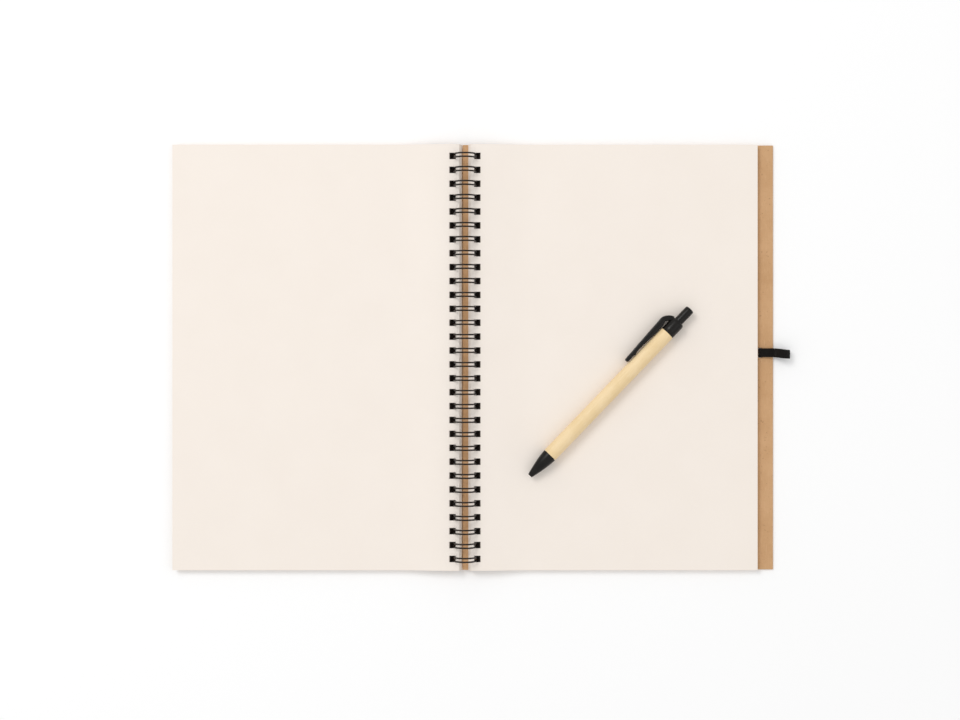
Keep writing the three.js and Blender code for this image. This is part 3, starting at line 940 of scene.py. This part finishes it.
def kraft_tube():
    """The pen's pale kraft tube: fibres that run along the pen under a thin satin finish."""
    look = Finish("kraft_tube", Specular_IOR_Level=0.4, Coat_Weight=0.08, Coat_Roughness=0.4)
    turn = (0, 0, -math.atan2(PEN_ALONG[1], PEN_ALONG[0]))
    lengthwise = look.stretched((190, 1500, 1500), (0, 0, 0), look.stretched((1, 1, 1), turn))
    fibre = look.noise(1, 5, 0.65, lengthwise, 0.4)
    cloud = look.noise(90, 3, 0.5)
    fine = look.noise(1900, 4, 0.6)
    tone = look.mixed(look.between(cloud, 0.35, 0.65), (0.80, 0.60, 0.325), (0.85, 0.655, 0.385))
    tone = look.mixed(look.between(fibre, 0.5, 0.72, 0, 0.5), tone, (0.90, 0.73, 0.47))
    tone = look.mixed(look.between(fibre, 0.28, 0.42, 0.4, 0), tone, (0.70, 0.50, 0.26))
    look.colour(tone)
    look.roughness(look.between(fine, 0.2, 0.8, 0.48, 0.68))
    look.bump(look.summed(fine, fibre, 0.8), 0.00003, 0.4)
    return look.material


def moulded_plastic():
    """Black moulded plastic: a fine spark-eroded grain and a few duller patches from handling."""
    look = Finish("black_plastic", Specular_IOR_Level=0.22)
    grain = look.noise(2600, 3, 0.5)
    handling = look.noise(160, 4, 0.6)
    look.colour(look.mixed(look.between(handling, 0.4, 0.7), (0.005, 0.0042, 0.0035), (0.009, 0.008, 0.0065)))
    look.roughness(look.between(handling, 0.3, 0.7, 0.2, 0.32))
    look.bump(grain, 0.00002, 0.25)
    return look.material


def coated_wire():
    """Dark bronze coated wire: a warm black with worn brown highlights and slight orange peel."""
    look = Finish("bronze_wire", Metallic=0.3, Specular_IOR_Level=0.3, Coat_Weight=0.12, Coat_Roughness=0.25)
    patch = look.noise(420, 4, 0.6)
    peel = look.noise(3200, 2, 0.5)
    look.colour(look.mixed(look.between(patch, 0.4, 0.68), (0.009, 0.006, 0.005), (0.028, 0.016, 0.010)))
    look.roughness(look.between(patch, 0.3, 0.7, 0.28, 0.45))
    look.bump(peel, 0.00002, 0.3)
    return look.material


def woven_elastic():
    """Black woven elastic: fine cross threads over the lengthwise ribs, with a little lint."""
    look = Finish("black_elastic", Sheen_Weight=0.05, Sheen_Roughness=0.5, Specular_IOR_Level=0.12)
    surface = look.tree.nodes.new("ShaderNodeUVMap")
    surface.uv_map = "surface"
    threads = look.tree.nodes.new("ShaderNodeTexWave")
    threads.wave_type = "BANDS"
    threads.bands_direction = "X"
    threads.inputs["Scale"].default_value = 9.0
    threads.inputs["Distortion"].default_value = 1.2
    threads.inputs["Detail"].default_value = 2
    look.link(surface.outputs["UV"], threads.inputs["Vector"])
    lint = look.noise(1500, 4, 0.7)
    thread = look.between(threads.outputs["Fac"], 0.2, 0.9)
    cloth = look.mixed(thread, (0.004, 0.0035, 0.003), (0.012, 0.010, 0.009))
    look.colour(look.mixed(look.between(lint, 0.66, 0.78, 0, 0.4), cloth, (0.04, 0.036, 0.032)))
    look.roughness(look.between(lint, 0.3, 0.7, 0.8, 0.98))
    look.bump(look.summed(threads.outputs["Fac"], lint, 0.5), 0.0001, 0.7)
    return look.material


def refill_plastic():
    """Translucent refill tube with dark ink showing in its front part."""
    look = Finish("ink_tube", Roughness=0.3, Specular_IOR_Level=0.5)
    cloud = look.noise(300, 3, 0.5)
    look.colour(look.mixed(look.between(cloud, 0.4, 0.6), (0.55, 0.56, 0.56), (0.68, 0.68, 0.66)))
    look.roughness(look.between(cloud, 0.3, 0.7, 0.22, 0.4))
    return look.material


def bare_metal(name, dark, light, rough):
    """Bright metal with fine turning marks."""
    look = Finish(name, Metallic=1.0)
    marks = look.noise(1, 3, 0.6, look.stretched((900, 900, 4200)))
    look.colour(look.mixed(look.between(marks, 0.3, 0.7), dark, light))
    look.roughness(look.between(marks, 0.3, 0.7, rough, rough + 0.15))
    look.bump(marks, 0.00001, 0.3)
    return look.material


# ---- Scene around the book ----
def lay_floor():
    """A plain pale floor under the book."""
    half = 3.0
    mesh = bpy.data.meshes.new("floor")
    corners = [(-half, -half, 0), (half, -half, 0), (half, half, 0), (-half, half, 0)]
    mesh.from_pydata(corners, [], [(0, 1, 2, 3)])
    floor = bpy.data.objects.new("floor", mesh)
    floor.location.z = -0.0002
    bpy.context.scene.collection.objects.link(floor)
    look = Finish("floor", Base_Color=(0.97, 0.97, 0.97, 1), Roughness=0.9, Specular_IOR_Level=0.1)
    mesh.materials.append(look.material)


def area_light(name, place, aim, size, power):
    """A round lamp at a place in metres, turned towards its aim."""
    lamp = bpy.data.lights.new(name, "AREA")
    lamp.shape = "DISK"
    lamp.size = size
    lamp.energy = power
    light = bpy.data.objects.new(name, lamp)
    light.location = place
    way = np.array(aim) - np.array(place)
    way = way / np.linalg.norm(way)
    light.rotation_euler = (math.acos(-way[2]), 0, math.atan2(way[1], way[0]) - math.pi / 2)
    bpy.context.scene.collection.objects.link(light)


def light_studio():
    """An even white surround, a soft key from the far left and a weak fill from the near right."""
    world = bpy.data.worlds.new("studio")
    world.use_nodes = True
    world.node_tree.nodes["Background"].inputs["Color"].default_value = (1, 1, 1, 1)
    world.node_tree.nodes["Background"].inputs["Strength"].default_value = 0.78
    bpy.context.scene.world = world
    area_light("key", place=(-0.95, 0.95, 1.7), aim=(0.0, 0, 0), size=0.9, power=14)
    area_light("fill", place=(1.1, -0.6, 1.7), aim=(0.1, 0, 0), size=1.4, power=2)


def set_camera():
    """Straight above the book, with the spine a little left of the middle of the frame."""
    height_above_pages, frame_width, sensor = 880, 584.7, 36
    right_of_wire, below_middle = 9.14, 1.55
    camera = bpy.data.cameras.new("camera")
    camera.sensor_width = sensor
    camera.lens = sensor * height_above_pages / frame_width
    camera.clip_start = 0.01
    seen = bpy.data.objects.new("camera", camera)
    height = (AXIS_Z + height_above_pages) * MM
    seen.location = ((AXIS_X + right_of_wire) * MM, -below_middle * MM, height)
    bpy.context.scene.collection.objects.link(seen)
    bpy.context.scene.camera = seen


def build_book(materials):
    paper, kraft = materials["paper"], materials["kraft"]
    build_cover(
        "front_cover_card", "front_cover", -1, -(FRONT_HIGH[0] - AXIS_X), AXIS_X - FRONT_LOW[0],
        "front_cover", kraft,
    )
    slot_start = TAIL_LOW[0] - AXIS_X - SLOT_GAP
    slot = (slot_start, slot_start + SLOT_WIDTH, TAIL_LOW[1] - SLOT_GAP, TAIL_HIGH[1] + SLOT_GAP)
    build_cover(
        "back_cover_card", "back_cover", 1, BACK_LOW[0] - AXIS_X, BACK_HIGH[0] - AXIS_X,
        "book", kraft, slot,
    )
    left_block = LEAVES_LEFT - LOOSE_LEFT
    build_leaves("left_leaf_block_sheets", -1, LEAVES_LEFT, range(left_block), "left_leaf_block", paper)
    for i in range(1, LOOSE_LEFT + 1):
        level = LEAVES_LEFT - i
        build_leaves(f"left_leaf_{i}_sheet", -1, LEAVES_LEFT, [level], f"left_leaf_{i}", paper)
    right_block = LEAVES_RIGHT - 1
    build_leaves("right_leaf_block_sheets", 1, LEAVES_RIGHT, range(right_block), "book", paper)
    build_leaves("right_leaf_1_sheet", 1, LEAVES_RIGHT, [right_block], "book", paper)
    build_wire(materials["wire"])
    build_elastic(materials["elastic"])


def main():
    set_camera()
    lay_floor()
    light_studio()
    materials = {
        "paper": cream_paper(),
        "kraft": kraft_card(),
        "kraft_tube": kraft_tube(),
        "plastic": moulded_plastic(),
        "wire": coated_wire(),
        "elastic": woven_elastic(),
        "ink": refill_plastic(),
        "brass": bare_metal("brass_point", (0.62, 0.44, 0.19), (0.80, 0.62, 0.32), 0.22),
        "steel": bare_metal("spring_steel", (0.45, 0.45, 0.46), (0.68, 0.68, 0.68), 0.25),
    }
    build_book(materials)
    build_pen(materials)
    bpy.context.scene.view_settings.view_transform = "Standard"


main()
